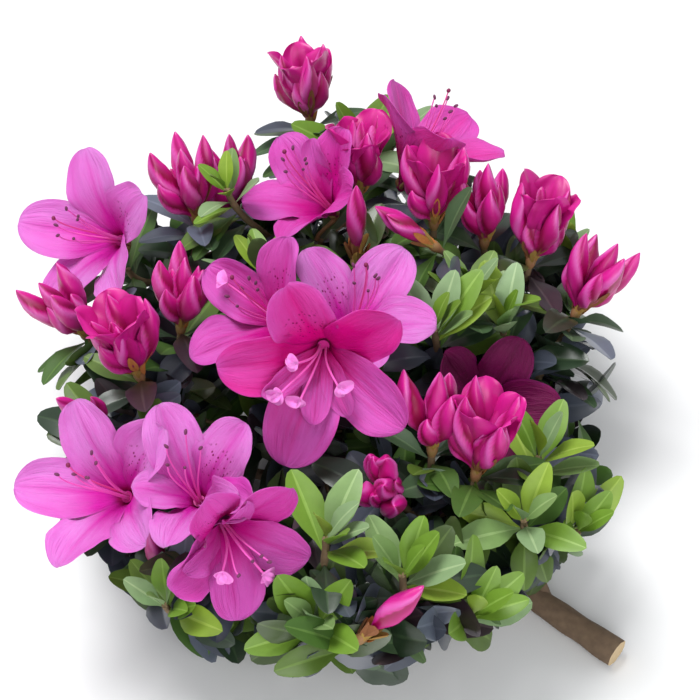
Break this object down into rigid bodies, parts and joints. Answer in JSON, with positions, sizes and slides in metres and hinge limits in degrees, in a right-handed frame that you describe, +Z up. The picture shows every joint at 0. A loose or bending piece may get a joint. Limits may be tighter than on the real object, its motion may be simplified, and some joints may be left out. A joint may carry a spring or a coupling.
{
  "type": "azalea flowering branch",
  "caption": "Cut leafy shrub bough lying on its lower twigs, with open funnel-shaped magenta flowers and trusses of pointed buds above spreading leaf whorls.",
  "frame": {"origin": "middle of the bough's outline seen from above, on the level surface that it lies on", "axes": "+Z up from that surface, +Y towards the growing tip, with the cut end of the stem at low Y and high X"},
  "size_m": [0.2056, 0.2439, 0.1186],
  "materials": {
    "bark": "rough grey-brown bark with fine lengthwise cracks",
    "leaf": "soft satin leaf, pale yellow-green when young and dark grey-green when old",
    "petal": "thin soft matte petal, lighter at the rim and deeper towards the throat",
    "bud": "satin folded petals in a deep magenta red"
  },
  "bodies": {
    "root": {"stem": "bark", "bough_centre": "bark", "bough_left_rim": "bark", "bough_left": "bark", "bough_back_left": "bark", "bough_back_centre": "bark", "bough_back_right": "bark", "bough_right_far": "bark", "bough_right_inner": "bark", "bough_right_rim": "bark", "bough_right_low": "bark", "bough_front_right": "bark", "bough_right_front_rim": "bark", "bough_front_left": "bark", "bough_front_centre": "bark", "flower_centre_right": "petal", "flower_centre_front": "petal", "flower_centre_left": "petal", "flower_front_left_upper": "petal", "flower_front_left_lower": "petal", "flower_left_rim": "petal", "flower_back_centre": "petal", "flower_back_left": "petal", "flower_back_right": "petal", "flower_shaded": "petal", "buds_left_rim_2": "bud", "buds_left_1": "bud", "buds_left_2": "bud", "buds_left_3": "bud", "buds_left_4": "bud", "buds_back_left_1": "bud", "buds_back_centre_2": "bud", "buds_back_centre_4": "bud", "buds_tip_1": "bud", "buds_back_right_1": "bud", "buds_back_right_3": "bud", "buds_back_right_4": "bud", "buds_right_far_1": "bud", "buds_right_far_2": "bud", "buds_right_rim_2": "bud", "buds_right_low_1": "bud", "buds_right_low_2": "bud", "buds_right_low_3": "bud", "buds_front_right_2": "bud", "foliage_centre": "leaf", "foliage_front_left": "leaf", "foliage_left_rim": "leaf", "foliage_left": "leaf", "foliage_back_left": "leaf", "foliage_back_centre": "leaf", "foliage_tip": "leaf", "foliage_back_right": "leaf", "foliage_right_far": "leaf", "foliage_right_inner": "leaf", "foliage_right_rim": "leaf", "foliage_right_low": "leaf", "foliage_front_centre": "leaf", "foliage_front_right": "leaf", "foliage_right_front_rim": "leaf"}
  },
  "joints": []
}
